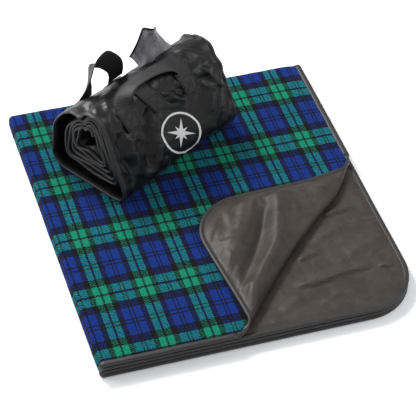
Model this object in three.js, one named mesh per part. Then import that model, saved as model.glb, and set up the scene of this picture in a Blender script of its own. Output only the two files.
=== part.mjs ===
// Camp blanket: a fleece blanket with a nylon backing, folded in four with one corner turned back,
// and the same blanket packed in its nylon case as a carry roll, lying on top.
// Millimetres, +Z up. The origin is on the floor, under the middle of the folded blanket.

import * as THREE from "three";

// ---------------------------------------------------------------- driving dimensions

const BLANKET_X = 1194; // the open blanket's two sides
const BLANKET_Y = 1346;
const HALF_X = BLANKET_X / 4; // half of the footprint once it is folded in four
const HALF_Y = BLANKET_Y / 4;
const CORNER_RADIUS = 100;

const GAP = 0.3; // between touching pieces
const FLEECE = 6;
const BACKING = 2.4;
const LAYER = FLEECE + GAP + BACKING; // one thickness of blanket
const PITCH = LAYER + GAP; // from one layer to the next
const LAYERS = 4;
const TOP = (LAYERS - 1) * PITCH + LAYER; // the top face of the folded blanket
const LEFT_RADIUS = (PITCH + LAYER) / 2; // a fold that holds two layers
const BACK_RADIUS = TOP / 2; // the fold that holds all four

const BINDING_WIDTH = 12;
const BINDING_ROUND = 2;

const FOLD_FRONT_X = -52; // where the turned-back corner's fold crosses the front edge
const FOLD_RIGHT_Y = 48; // and the right edge
const FOLD_CLEARANCE = 1.2; // from the fold's axis to the cloth on each side
const BEND_CLOTH = 44; // length of cloth taken up by the soft bend

const ROLL_TURN = THREE.MathUtils.degToRad(32); // the carry roll's axis, from +X
const ROLL_X = -60.5;
const ROLL_Y = 186;
const ROLL_LEFT = -160; // its open left end, along its own axis
const ROLL_RIGHT = 138;
const CASE_THICK = 2.4;
const CASE_HEIGHT = 167;
const CASE_MIDDLE = 80; // height that the rings and turns are scaled about
const CASE_REACH = 84; // usual distance from that middle to the case's outside
const ROLL_PLY = 17; // one turn of the rolled blanket
const ROLL_TURNS = 3.5;

const WEBBING_WIDTH = 38;
const WEBBING_THICK = 2;
const STRAPS_FRONT = { left: -95, middle: -20, right: 60 };
const STRAPS_REAR = { left: -106, right: -24 };
const EMBLEM_RADIUS = 39;
const EMBLEM_THICK = 0.8;
const EMBLEM_ALONG = 22; // its middle, along the roll's axis
const EMBLEM_UP = 0.13; // and as a share of the way up the straight front face

// ---------------------------------------------------------------- colours

const look = (color, roughness) => new THREE.MeshStandardMaterial({ color, roughness, metalness: 0 });
const materials = {
  tartan: () => look(0x1d2a5c, 0.95),
  nylon: () => look(0x4a423c, 0.5),
  binding: () => look(0x24221f, 0.8),
  caseNylon: () => look(0x2b2725, 0.45),
  webbing: () => look(0x1f1d1b, 0.85),
  thread: () => look(0x2c2a28, 0.7),
  print: () => look(0xe8e8e6, 0.6),
};

// ---------------------------------------------------------------- small helpers

const named = (name, geometry, material) => {
  const mesh = new THREE.Mesh(geometry, material);
  mesh.name = name;
  return mesh;
};

const shapeOf = (points) => new THREE.Shape(points.map(([x, y]) => new THREE.Vector2(x, y)));

// A flat plate of the given outline, from z = low to z = low + height, with its edges rounded or square.
const plate = (points, low, height, round = 0) => {
  const geometry = new THREE.ExtrudeGeometry(shapeOf(points), {
    depth: height - 2 * round,
    bevelEnabled: round > 0,
    bevelThickness: round,
    bevelSize: round,
    bevelOffset: -round,
    bevelSegments: 2,
  });
  return geometry.translate(0, 0, low + round);
};

const arc = (cx, cy, radius, from, to, steps) =>
  Array.from({ length: steps + 1 }, (_, i) => {
    const angle = from + ((to - from) * i) / steps;
    return [cx + radius * Math.cos(angle), cy + radius * Math.sin(angle)];
  });

// ---------------------------------------------------------------- the folded blanket

const LEFT_X = -HALF_X + LEFT_RADIUS; // flat cloth starts here, beside the left folds
const BACK_Y = HALF_Y - BACK_RADIUS; // and ends here, before the back folds
const PANEL_INSET = BINDING_WIDTH + GAP;
const ROUND_X = HALF_X - CORNER_RADIUS; // centre of the rounded front right corner
const ROUND_Y = -HALF_Y + CORNER_RADIUS;

// The corner's fold line, as points (x, y) of the flat cloth.
const foldDirection = new THREE.Vector2(HALF_X - FOLD_FRONT_X, FOLD_RIGHT_Y + HALF_Y).normalize();
const foldNormal = new THREE.Vector2(foldDirection.y, -foldDirection.x); // towards the corner

// Where the line parallel to the fold, this far towards the corner, crosses a front or right edge.
const foldXAt = (y, away) =>
  FOLD_FRONT_X + ((y + HALF_Y) * foldDirection.x) / foldDirection.y + away / foldNormal.x;
const foldYAt = (x, away) =>
  -HALF_Y + ((x - FOLD_FRONT_X) * foldDirection.y) / foldDirection.x + away / foldNormal.y;

const cornerArc = (inset, reversed) => {
  const points = arc(ROUND_X, ROUND_Y, CORNER_RADIUS - inset, -Math.PI / 2, 0, 12);
  return reversed ? points.reverse() : points;
};

// One layer's cloth, whole or with its front right corner cut off along the fold.
const panelOutline = (cut) => {
  const front = -HALF_Y + PANEL_INSET;
  const right = HALF_X - PANEL_INSET;
  const corner = cut
    ? [[foldXAt(front, -FOLD_CLEARANCE), front], [right, foldYAt(right, -FOLD_CLEARANCE)]]
    : cornerArc(PANEL_INSET, false);
  return [[LEFT_X + GAP, front], ...corner, [right, BACK_Y - GAP], [LEFT_X + GAP, BACK_Y - GAP]];
};

// The binding around one layer's open front and right edges.
const bindingOutline = () => [
  [-HALF_X, -HALF_Y],
  ...cornerArc(0, false),
  [HALF_X, BACK_Y - GAP],
  [HALF_X - BINDING_WIDTH, BACK_Y - GAP],
  ...cornerArc(BINDING_WIDTH, true),
  [-HALF_X, -HALF_Y + BINDING_WIDTH],
];

const topBindingFront = () => {
  const inner = -HALF_Y + BINDING_WIDTH;
  return [
    [-HALF_X, -HALF_Y],
    [foldXAt(-HALF_Y, -FOLD_CLEARANCE), -HALF_Y],
    [foldXAt(inner, -FOLD_CLEARANCE), inner],
    [-HALF_X, inner],
  ];
};

const topBindingRight = () => {
  const inner = HALF_X - BINDING_WIDTH;
  return [
    [inner, foldYAt(inner, -FOLD_CLEARANCE)],
    [HALF_X, foldYAt(HALF_X, -FOLD_CLEARANCE)],
    [HALF_X, BACK_Y - GAP],
    [inner, BACK_Y - GAP],
  ];
};

// Layer 1 is the top one. Odd layers have the tartan up, even ones the backing.
const buildLayer = (number) => {
  const low = (LAYERS - number) * PITCH;
  const tartanUp = number % 2 === 1;
  const outline = panelOutline(number === 1);
  const fleeceLow = tartanUp ? low + BACKING + GAP : low;
  const backingLow = tartanUp ? low : low + FLEECE + GAP;
  return [
    named(`fleece_layer_${number}`, plate(outline, fleeceLow, FLEECE), materials.tartan()),
    named(`backing_layer_${number}`, plate(outline, backingLow, BACKING), materials.nylon()),
  ];
};

const buildBindings = () => {
  const lowOf = (number) => (LAYERS - number) * PITCH;
  const strip = (name, outline, number) =>
    named(name, plate(outline, lowOf(number), LAYER, BINDING_ROUND), materials.binding());
  return [
    strip("binding_layer_1_front", topBindingFront(), 1),
    strip("binding_layer_1_right", topBindingRight(), 1),
    ...[2, 3, 4].map((number) => strip(`binding_layer_${number}`, bindingOutline(), number)),
  ];
};

// A half ring, as cloth takes round a fold: it opens towards +X of its own outline.
const halfRing = (outer, inner) => [
  ...arc(0, 0, outer, Math.PI / 2, (3 * Math.PI) / 2, 14),
  ...arc(0, 0, inner, (3 * Math.PI) / 2, Math.PI / 2, 14),
];

// The two folds stacked at the left edge, running along Y.
const buildLeftFolds = () => {
  const front = -HALF_Y + PANEL_INSET;
  const length = BACK_Y - GAP - front;
  const fold = (name, outer, inner, middle, material) => {
    const geometry = plate(halfRing(outer, inner), 0, length);
    geometry.rotateX(Math.PI / 2).translate(LEFT_X, front + length, middle);
    return named(name, geometry, material);
  };
  const backingOuter = LEFT_RADIUS - FLEECE - GAP;
  return ["lower", "upper"].flatMap((level, index) => {
    const middle = LEFT_RADIUS + index * 2 * PITCH;
    return [
      fold(`fleece_left_fold_${level}`, LEFT_RADIUS, LEFT_RADIUS - FLEECE, middle, materials.tartan()),
      fold(`backing_left_fold_${level}`, backingOuter, backingOuter - BACKING, middle, materials.nylon()),
    ];
  });
};

// The second fold, at the back, running along X: two layers of blanket, one inside the other.
const buildBackFolds = () => {
  const right = HALF_X - PANEL_INSET;
  const fold = (name, outer, inner, from, to, material) => {
    const geometry = plate(halfRing(outer, inner), 0, to - from);
    // The ring's opening turns to -Y and its length to X.
    geometry.rotateY(Math.PI / 2).rotateX(-Math.PI / 2);
    geometry.translate(from, BACK_Y, BACK_RADIUS);
    return named(name, geometry, material);
  };
  const cloth = (name, outer, thick, material) =>
    fold(name, outer, outer - thick, LEFT_X + GAP, right, material);
  const outerBacking = BACK_RADIUS - FLEECE - GAP;
  const innerBacking = outerBacking - BACKING - GAP;
  const innerFleece = innerBacking - BACKING - GAP;
  const edge = HALF_X - BINDING_WIDTH;
  return [
    cloth("fleece_back_fold_outer", BACK_RADIUS, FLEECE, materials.tartan()),
    cloth("backing_back_fold_outer", outerBacking, BACKING, materials.nylon()),
    cloth("backing_back_fold_inner", innerBacking, BACKING, materials.nylon()),
    cloth("fleece_back_fold_inner", innerFleece, FLEECE, materials.tartan()),
    fold("binding_back_fold_outer", BACK_RADIUS, BACK_RADIUS - LAYER, edge, HALF_X, materials.binding()),
    fold("binding_back_fold_inner", innerBacking, innerBacking - LAYER, edge, HALF_X, materials.binding()),
  ];
};

// The corner of the top layer. It is drawn flat, drawn in by the cloth that the bend takes up,
// and the group turns it back by half a turn about the fold's axis.
const buildCorner = () => {
  const start = BEND_CLOTH + FOLD_CLEARANCE;
  const between = (inset, reversed) => {
    const y = -HALF_Y + inset;
    const x = HALF_X - inset;
    const points = [[foldXAt(y, start), y], ...cornerArc(inset, false), [x, foldYAt(x, start)]];
    return reversed ? points.reverse() : points;
  };
  const low = (LAYERS - 1) * PITCH;
  const cloth = between(PANEL_INSET, false);
  const rim = [...between(0, false), ...between(BINDING_WIDTH, true)];
  const parts = [
    named("corner_fleece", plate(cloth, low + BACKING + GAP, FLEECE), materials.tartan()),
    named("corner_backing", plate(cloth, low, BACKING), materials.nylon()),
    named("corner_binding", plate(rim, low, LAYER, BINDING_ROUND), materials.binding()),
  ];
  const axisHeight = TOP + GAP / 2;
  const flat = new THREE.Group();
  flat.add(...parts);
  flat.position.set(
    -FOLD_FRONT_X - BEND_CLOTH * foldNormal.x,
    HALF_Y - BEND_CLOTH * foldNormal.y,
    -axisHeight,
  );
  const turned = new THREE.Group();
  turned.add(flat);
  turned.position.set(FOLD_FRONT_X, -HALF_Y, axisHeight);
  turned.setRotationFromAxisAngle(new THREE.Vector3(foldDirection.x, foldDirection.y, 0), Math.PI);
  return turned;
};

// ---------------------------------------------------------------- the carry roll

// The case's section, looking from its left end: a rounded triangle with a flat base and a
// straight front face. Each point is (back, up); the outline starts and ends at the base's front.
const sectionCurve = () => {
  const path = new THREE.Path();
  path.moveTo(-58, 0);
  path.lineTo(60, 0);
  path.quadraticCurveTo(86, 0, 84, 30);
  path.lineTo(82, 74);
  path.quadraticCurveTo(80, 102, 60, 124);
  path.quadraticCurveTo(26, CASE_HEIGHT, -4, CASE_HEIGHT);
  path.quadraticCurveTo(-24, CASE_HEIGHT, -32, 146);
  path.lineTo(-78, 38);
  path.quadraticCurveTo(-94, 0, -58, 0);
  return path;
};
const SECTION_STEPS = 56;
const section = sectionCurve().getSpacedPoints(SECTION_STEPS).slice(0, SECTION_STEPS);

// A point of the section's outline, this far round it (0 to 1), scaled about its middle.
const sectionAt = (round, scale) => {
  const place = (((round % 1) + 1) % 1) * SECTION_STEPS;
  const index = Math.floor(place);
  const a = section[index % SECTION_STEPS];
  const b = section[(index + 1) % SECTION_STEPS];
  const point = a.clone().lerp(b, place - index);
  return [point.x * scale, CASE_MIDDLE + (point.y - CASE_MIDDLE) * scale];
};
const scaleFor = (out) => 1 + out / CASE_REACH; // this far outside the case, or inside if negative

// A curved sheet that follows the section from one place round it to another.
const sheetOutline = (from, to, outer, inner) => {
  const places = [from];
  for (let i = Math.floor(from * SECTION_STEPS) + 1; i < to * SECTION_STEPS; i += 1) {
    places.push(i / SECTION_STEPS); // the section's own corners, so that nested sheets stay parallel
  }
  places.push(to);
  const line = (scale) => places.map((place) => sectionAt(place, scale));
  return [...line(scaleFor(outer)), ...line(scaleFor(inner)).reverse()];
};

// Turns a plate drawn in the section's plane so that its depth runs along the roll, from x = from.
const alongRoll = (outline, from, length, round = 0) => {
  const geometry = plate(outline, 0, length, round);
  return geometry.rotateX(Math.PI / 2).rotateZ(Math.PI / 2).translate(from, 0, 0);
};

// Places round the section where things start and end, found by their height on a side.
const roundAt = (test) => {
  let best = 0;
  let bestMiss = Infinity;
  for (let i = 0; i <= 1000; i += 1) {
    const [back, up] = sectionAt(i / 1000, 1);
    const miss = test(back, up);
    if (miss < bestMiss) [best, bestMiss] = [i / 1000, miss];
  }
  return best;
};
const frontAt = (height) => roundAt((back, up) => (back < -5 ? Math.abs(up - height) : Infinity));
const backAt = (height) => roundAt((back, up) => (back > 5 ? Math.abs(up - height) : Infinity));
const baseMiddle = roundAt((back, up) => (up < 1 ? Math.abs(back) : Infinity));
const topSeam = backAt(CASE_HEIGHT - 6);

const buildCase = () => {
  const length = ROLL_RIGHT - ROLL_LEFT;
  const edge = GAP / CASE_REACH / 4;
  const panel = (name, from, to) =>
    named(
      name,
      alongRoll(sheetOutline(from + edge, to - edge, 0, -CASE_THICK), ROLL_LEFT, length),
      materials.caseNylon(),
    );
  const ring = (name, from, deep) =>
    named(
      name,
      alongRoll(sheetOutline(0.001, 0.999, 0, -2 * CASE_THICK), from, deep),
      materials.binding(),
    );
  const endOutline = Array.from({ length: SECTION_STEPS }, (_, i) =>
    sectionAt(i / SECTION_STEPS, scaleFor(-2 * CASE_THICK - GAP)),
  );
  return [
    panel("case_back_panel", baseMiddle, topSeam),
    panel("case_front_panel", topSeam, baseMiddle + 1),
    ring("case_left_binding", ROLL_LEFT - GAP - 3, 3),
    ring("case_right_binding", ROLL_RIGHT + GAP, 9),
    named("case_end_panel", alongRoll(endOutline, ROLL_RIGHT + GAP, 11, 4), materials.caseNylon()),
  ];
};

// One ply of the rolled blanket: a spiral strip that starts outermost and winds in.
const spiralOutline = (start, thick) => {
  const steps = Math.round(ROLL_TURNS * 26);
  const line = (inset) =>
    Array.from({ length: steps + 1 }, (_, i) => {
      const turns = (i / steps) * ROLL_TURNS;
      return sectionAt(topSeam + turns, scaleFor(-inset - ROLL_PLY * turns));
    });
  return [...line(start), ...line(start + thick).reverse()];
};

const buildRolledBlanket = () => {
  const inside = CASE_THICK + GAP;
  const fleece = 11;
  const backing = ROLL_PLY - fleece - 3 * GAP;
  const bindingDeep = 10;
  const left = ROLL_LEFT + 6;
  const right = ROLL_RIGHT - GAP;
  const start = left + bindingDeep + GAP;
  const ply = (name, inset, thick, from, to, material) =>
    named(name, alongRoll(spiralOutline(inset, thick), from, to - from), material);
  return [
    ply("rolled_backing", inside, backing, start, right, materials.nylon()),
    ply("rolled_fleece", inside + backing + GAP, fleece, start, right, materials.tartan()),
    ply("rolled_binding", inside, ROLL_PLY - 2 * GAP, left, left + bindingDeep, materials.binding()),
  ];
};

// Webbing sewn flat on the case, with a stitched box at its foot.
const buildStrap = (name, middle, foot, end, footAtStart) => {
  const outline = sheetOutline(foot, end, GAP + WEBBING_THICK, GAP);
  const left = middle - WEBBING_WIDTH / 2;
  const inset = 4;
  const perMillimetre = 1 / sectionCurve().getLength();
  const boxLength = (WEBBING_WIDTH - 2 * inset) * perMillimetre;
  const first = footAtStart ? foot + inset * perMillimetre : end - inset * perMillimetre - boxLength;
  const stitch = sheetOutline(first, first + boxLength, 2 * GAP + WEBBING_THICK + 0.8, 2 * GAP + WEBBING_THICK);
  return [
    named(`strap_${name}`, alongRoll(outline, left, WEBBING_WIDTH), materials.webbing()),
    named(
      `strap_${name}_stitching`,
      alongRoll(stitch, left + inset, WEBBING_WIDTH - 2 * inset),
      materials.thread(),
    ),
  ];
};

const HINGE_FRONT = { back: -36, up: 157 }; // where the front handle leaves its straps
const HINGE_REAR = { back: 73, up: 119 };
const HINGE_FLAP = { back: 52, up: 143 };

const buildStraps = () => {
  const footFront = frontAt(118);
  const handleFront = frontAt(151);
  const overTop = backAt(CASE_HEIGHT - 1);
  const topRear = backAt(117);
  const footRear = backAt(52);
  return [
    ...Object.entries(STRAPS_FRONT).flatMap(([side, middle]) =>
      buildStrap(`front_${side}`, middle, side === "middle" ? overTop : handleFront, footFront, false),
    ),
    ...Object.entries(STRAPS_REAR).flatMap(([side, middle]) =>
      buildStrap(`rear_${side}`, middle, footRear, topRear, true),
    ),
  ];
};

// A webbing handle as a flat arch: its two legs stand on the hinge line and its crown is round.
const archOutline = (left, right, reach) => {
  const crown = (x0, x1, top, radius) => [
    [x0, 0],
    ...arc(x0 + radius, top - radius, radius, Math.PI, Math.PI / 2, 6),
    ...arc(x1 - radius, top - radius, radius, Math.PI / 2, 0, 6),
    [x1, 0],
  ];
  const half = WEBBING_WIDTH / 2;
  const outer = crown(left - half, right + half, reach, Math.min(50, reach - 4));
  const inner = crown(left + half, right - half, reach - WEBBING_WIDTH, Math.min(16, reach - WEBBING_WIDTH - 4));
  return [...outer, ...inner.reverse()];
};

// Stands an upright plate (x along the roll, y up) on a hinge line, leaning by an angle towards +Y.
const standing = (geometry, hinge, lean) => {
  geometry.translate(0, GAP, -WEBBING_THICK / 2).rotateX(Math.PI / 2 - lean);
  return geometry.translate(0, hinge.back, hinge.up);
};

const buildHandles = () => {
  const front = plate(archOutline(STRAPS_FRONT.left, STRAPS_FRONT.right, 62), 0, WEBBING_THICK);
  const rear = plate(archOutline(STRAPS_REAR.left, STRAPS_REAR.right, 102), 0, WEBBING_THICK);
  return [
    named("front_handle", standing(front, HINGE_FRONT, THREE.MathUtils.degToRad(33)), materials.webbing()),
    named("rear_handle", standing(rear, HINGE_REAR, THREE.MathUtils.degToRad(-12)), materials.webbing()),
  ];
};

// The closure flap: a nylon sheet that stands up from the back, with its top edge hemmed.
const buildFlap = () => {
  const hem = 5;
  const left = 3;
  const right = 92;
  const peakLeft = [26, 92 - hem];
  const peakRight = [71, 74 - hem];
  const body = plate([[left, 0], [right, 0], [right, 14], peakRight, peakLeft, [left, 30]], 0, WEBBING_THICK);
  const edge = plate(
    [
      [peakRight[0], peakRight[1] + GAP],
      [peakRight[0], peakRight[1] + hem],
      [peakLeft[0], peakLeft[1] + hem],
      [peakLeft[0], peakLeft[1] + GAP],
    ],
    0,
    WEBBING_THICK,
  );
  const lean = THREE.MathUtils.degToRad(-10);
  return [
    named("closure_flap", standing(body, HINGE_FLAP, lean), materials.caseNylon()),
    named("closure_flap_hem", standing(edge, HINGE_FLAP, lean), materials.caseNylon()),
  ];
};

// The printed round emblem on the straight front face.
const buildEmblem = () => {
  const [backLow, upLow] = [-78, 38];
  const [backHigh, upHigh] = [-32, 146];
  const slope = Math.atan2(backHigh - backLow, upHigh - upLow);
  const clear = GAP + EMBLEM_THICK * 0.75;
  const geometry = new THREE.CylinderGeometry(EMBLEM_RADIUS, EMBLEM_RADIUS, EMBLEM_THICK, 32);
  geometry.rotateX(-slope); // the disc's axis, at first along +Y, tips up to face out of the slope
  geometry.translate(
    EMBLEM_ALONG,
    backLow + (backHigh - backLow) * EMBLEM_UP - clear * Math.cos(slope),
    upLow + (upHigh - upLow) * EMBLEM_UP + clear * Math.sin(slope),
  );
  return named("printed_emblem", geometry, materials.print());
};

const buildCarryRoll = () => {
  const roll = new THREE.Group();
  roll.add(...buildCase(), ...buildRolledBlanket(), ...buildStraps(), ...buildHandles(), ...buildFlap());
  roll.add(buildEmblem());
  roll.position.set(ROLL_X, ROLL_Y, TOP + GAP);
  roll.rotation.z = ROLL_TURN;
  return roll;
};

// ---------------------------------------------------------------- assembly

const group = new THREE.Group();
for (let number = 1; number <= LAYERS; number += 1) group.add(...buildLayer(number));
group.add(...buildLeftFolds(), ...buildBackFolds(), ...buildBindings(), buildCorner(), buildCarryRoll());

export default group;
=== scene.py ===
# %% [markdown]
# # A folded camp blanket and a packed one, in Blender
# A tartan fleece blanket with a nylon lining lies folded in four, with one corner turned back, and a
# second blanket lies on it, rolled up inside its own carry case. Cloth like this is easiest to make
# flat, where a pattern and an edge are simple, and then to fold with one function that every layer
# shares.

# %% The frame
import math

import bmesh
import bpy
import numpy as np
from mathutils import Matrix, Vector, noise


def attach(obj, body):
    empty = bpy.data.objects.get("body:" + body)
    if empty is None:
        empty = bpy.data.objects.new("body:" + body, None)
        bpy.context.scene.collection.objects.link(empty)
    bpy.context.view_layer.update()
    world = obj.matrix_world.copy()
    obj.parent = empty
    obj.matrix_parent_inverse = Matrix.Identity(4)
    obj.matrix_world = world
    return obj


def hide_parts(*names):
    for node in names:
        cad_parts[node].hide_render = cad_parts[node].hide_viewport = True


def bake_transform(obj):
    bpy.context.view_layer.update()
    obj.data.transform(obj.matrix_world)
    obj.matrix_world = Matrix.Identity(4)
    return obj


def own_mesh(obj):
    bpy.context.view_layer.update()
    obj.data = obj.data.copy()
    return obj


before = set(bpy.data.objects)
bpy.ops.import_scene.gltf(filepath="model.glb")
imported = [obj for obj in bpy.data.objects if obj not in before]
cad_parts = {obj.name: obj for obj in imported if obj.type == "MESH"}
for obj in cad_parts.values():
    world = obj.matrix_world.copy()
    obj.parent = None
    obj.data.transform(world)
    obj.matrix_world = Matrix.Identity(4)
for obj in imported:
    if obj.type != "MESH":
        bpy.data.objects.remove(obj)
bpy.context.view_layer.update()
MM = 0.001

# %% [markdown]
# ## The camera
# A long lens from some three and a half metres keeps the folded edges nearly parallel. The camera is
# placed by its angles round the blanket, and its axes are worked out from them, so that it can also
# be tipped a little about its own line of sight.

# %% Camera
AZIMUTH, ELEVATION, ROLL = (math.radians(a) for a in (-19.6, 43.9, 2.7))
TARGET = Vector((0.006, 0.013, 0.0))
DISTANCE = 3.491

away = Vector((
    math.sin(AZIMUTH) * math.cos(ELEVATION),
    -math.cos(AZIMUTH) * math.cos(ELEVATION),
    math.sin(ELEVATION),
))
level = Vector((math.cos(AZIMUTH), math.sin(AZIMUTH), 0))
upright = away.cross(level)
right = math.cos(ROLL) * level + math.sin(ROLL) * upright
top = -math.sin(ROLL) * level + math.cos(ROLL) * upright
camera = bpy.data.objects.new("camera", bpy.data.cameras.new("camera"))
camera.data.lens, camera.data.sensor_width = 162.26, 36
turned = Matrix((right, top, away)).transposed().to_4x4()
camera.matrix_world = Matrix.Translation(TARGET + DISTANCE * away) @ turned
bpy.context.collection.objects.link(camera)
bpy.context.scene.camera = camera
print("camera at", [round(c, 3) for c in camera.matrix_world.translation])

# %% [markdown]
# ## Colours and nodes
# Colours are picked as hex codes on a screen, which are brighter than the light they stand for, so one
# function turns them to linear values. Another small function adds a shader node, sets its values and
# joins its inputs, and every material below is made of calls to it.

# %% Two helpers for materials
def linear(code):
    """A #rrggbb colour as the linear value that a shader wants."""
    parts = [int(code[i:i + 2], 16) / 255 for i in (1, 3, 5)]
    return (*(c / 12.92 if c <= 0.04045 else ((c + 0.055) / 1.055) ** 2.4 for c in parts), 1.0)


def add(tree, kind, settings=(), **links):
    """Adds one node: settings are (name or number of a socket, or a property's name, value) pairs."""
    node = tree.nodes.new(kind)
    for key, value in settings:
        if isinstance(key, int) or key in node.inputs:
            node.inputs[key].default_value = value
        else:
            setattr(node, key, value)
    for key, source in links.items():
        tree.links.new(source, node.inputs[int(key[1:]) if key[0] == "i" and key[1:].isdigit() else key])
    return node


def new_material(name):
    material = bpy.data.materials.new(name)
    material.use_nodes = True
    tree = material.node_tree
    return material, tree, tree.nodes["Principled BSDF"]


def two_tones(tree, share, dark, light, low=0.0, high=1.0):
    """A colour ramp from dark to light, between two values of a pattern."""
    ramp = add(tree, "ShaderNodeValToRGB", Fac=share)
    for stop, colour, position in zip(ramp.color_ramp.elements, (dark, light), (low, high)):
        stop.color, stop.position = linear(colour), position
    return ramp.outputs["Color"]


print("a mid grey on a screen is", round(linear("#808080")[0], 3), "of white light")

# %% [markdown]
# ## Floor and light
# The blanket lies on a plain pale floor under soft studio light: one broad light from behind on the
# left, which rakes across the nylon and makes its folds glisten, and two weaker ones, from the left
# and from the front, which open its shadows.

# %% Floor and lights
def area_light(name, position, size, power):
    light = bpy.data.lights.new(name, "AREA")
    light.shape, light.size, light.energy = "DISK", size, power
    lamp = bpy.data.objects.new(name, light)
    lamp.location = position
    lamp.rotation_euler = (TARGET - Vector(position)).to_track_quat("-Z", "Y").to_euler()
    bpy.context.collection.objects.link(lamp)


area_light("window_light", (-0.95, 1.95, 2.3), 1.1, 96)
area_light("side_fill", (-2.2, 0.9, 1.9), 1.2, 24)
area_light("front_fill", (1.5, -0.7, 2.0), 1.3, 20)

world = bpy.data.worlds.new("studio")
world.use_nodes = True
world.node_tree.nodes["Background"].inputs["Color"].default_value = linear("#f4f6fa")
world.node_tree.nodes["Background"].inputs["Strength"].default_value = 0.57
bpy.context.scene.world = world
bpy.context.scene.view_settings.view_transform = "Standard"

floor_mesh = bmesh.new()
bmesh.ops.create_grid(floor_mesh, x_segments=1, y_segments=1, size=20)
floor = bpy.data.objects.new("floor", bpy.data.meshes.new("floor"))
floor_mesh.to_mesh(floor.data)
floor_mesh.free()
bpy.context.collection.objects.link(floor)

# matt emulsion on board: white, with clouds too faint to see as a pattern
floor_paint, tree, shader = new_material("matt_white_board")
board = add(tree, "ShaderNodeTexNoise", [("Scale", 6.0)])
board_tone = two_tones(tree, board.outputs["Fac"], "#fbfbfa", "#ffffff")
tree.links.new(board_tone, shader.inputs["Base Color"])
shader.inputs["Roughness"].default_value = 0.9
floor.data.materials.append(floor_paint)
print("lights and floor are in place")

# %% [markdown]
# ## Folding
# Flat cloth has a place p across it, a place q along it, and a height n through it, from the lining at
# the back to the fleece in front. A fold winds one of these round a line. The blanket is folded twice,
# first at its left, with the fleece outside, and then at its back, and both folds are the same small
# function. A light sag, the same for all layers, keeps the pile from looking ruled.

# %% The fold
LEFT_LINE, BACK_LINE = 289.65, 318.65  # where the first fold starts at the left, and the second behind
PLY, DOUBLE = 4.5, 9.0  # radius of each fold, to the middle of one ply and of two
STACK = 17.85  # height of the middle of the pile
FRONT, RIGHT = -336.5, 298.5  # the open edges
FAR_P = -LEFT_LINE * 2 - math.pi * PLY - RIGHT  # the lower ply's right edge, on the flat cloth
FAR_Q = BACK_LINE * 2 + math.pi * DOUBLE - FRONT  # the bottom layers' front edge


def wind(along, height, line, radius):
    """Winds a strip over and back beneath itself past a line. Returns its place and its height."""
    angle = np.clip((along - line) / radius, 0, math.pi)
    beyond = np.maximum(along - line - math.pi * radius, 0)
    out = np.minimum(along, line) + (radius + height) * np.sin(angle) - beyond
    return out, (radius + height) * np.cos(angle)


def smooth(value, low, high):
    t = np.clip((value - low) / (high - low), 0, 1)
    return t * t * (3 - 2 * t)


def rough(x, y, size, seed=0.0):
    """Smooth noise, from about -1 to 1, of lumps of this size."""
    return np.array([noise.noise((a / size, b / size, seed)) for a, b in zip(x, y)])


def sag(x, y, z):
    """How far the pile has settled, more at its top."""
    deep = 1.6 + 1.3 * rough(x, y, 130, 3.3) + 0.6 * rough(x, y, 45, 7.1)
    return np.clip(deep, 0, 4) * np.clip(z / 36, 0, 1)


def fold(p, q, n):
    """A point of the flat cloth, in mm, to its place in the folded pile."""
    x, height = wind(-p, n, LEFT_LINE, PLY)
    y, z = wind(q, height, BACK_LINE, DOUBLE)
    z = z + STACK
    return np.stack([-x, y, z - sag(-x, y, z)], 1)


print("flat size of the cloth:", round(RIGHT - FAR_P), "by", round(FAR_Q - FRONT), "mm")

# %% [markdown]
# ## Flat cloth as a grid
# A cloth piece starts as a flat grid whose lines are close together where the cloth will fold or crease
# and far apart where it lies flat. Its flat place is kept as a UV map in metres, so a woven pattern
# follows the cloth round every fold. A rounded corner is made by easing a square of the grid into a
# quarter of a disc, which keeps every face four-sided.

# %% Flat grids
def lines(*stretches):
    """Where grid lines run, in mm: each stretch is (from, to, number of gaps)."""
    return np.unique(np.concatenate([np.linspace(a, b, gaps + 1) for a, b, gaps in stretches]).round(3))


def flat_grid(columns, rows):
    cloth = bmesh.new()
    across, along = len(columns) - 1, len(rows) - 1
    bmesh.ops.create_grid(cloth, x_segments=across, y_segments=along, size=0.5)
    for v in cloth.verts:
        i, j = round((v.co.x + 0.5) * across), round((v.co.y + 0.5) * along)
        v.co = (columns[i], rows[j], 0)
    return cloth


def round_corner(cloth, p, q, radius, right_side, back_side):
    """Rounds the corner of a flat grid: (p, q) is the corner's point before it is rounded."""
    for v in cloth.verts:
        a = ((v.co.x - p) * right_side + radius) / radius
        b = ((v.co.y - q) * back_side + radius) / radius
        if a > 0 and b > 0:
            v.co.x = p + right_side * radius * (a * math.sqrt(max(0, 1 - b * b / 2)) - 1)
            v.co.y = q + back_side * radius * (b * math.sqrt(max(0, 1 - a * a / 2)) - 1)


def row_of(flat):
    """The row that each flat point is in, on a grid whose rows are numbered from 0."""
    return flat[:, 1].round().astype(int)


def cut_area(cloth):
    """The area of a flat piece, in square metres."""
    return sum(face.calc_area() for face in cloth.faces) * MM * MM


def cut_along(cloth, point, normal):
    """Cuts away what lies beyond a line of the flat cloth."""
    everything = cloth.verts[:] + cloth.edges[:] + cloth.faces[:]
    bmesh.ops.bisect_plane(cloth, geom=everything, dist=1e-4, plane_co=point, plane_no=normal,
                           clear_outer=True)

# %% From a flat grid to a piece
def lay(mesh, place, spread=lambda flat: flat[:, :2] * MM):
    """Moves flat points into the room with place, in mm, and keeps them as a UV map, in metres."""
    flat = np.array([v.co for v in mesh.verts])
    layer = mesh.loops.layers.uv.new("cloth")
    for v, uv, co in zip(mesh.verts, spread(flat), place(flat) * MM):
        for loop in v.link_loops:
            loop[layer].uv = uv
        v.co = co


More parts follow.
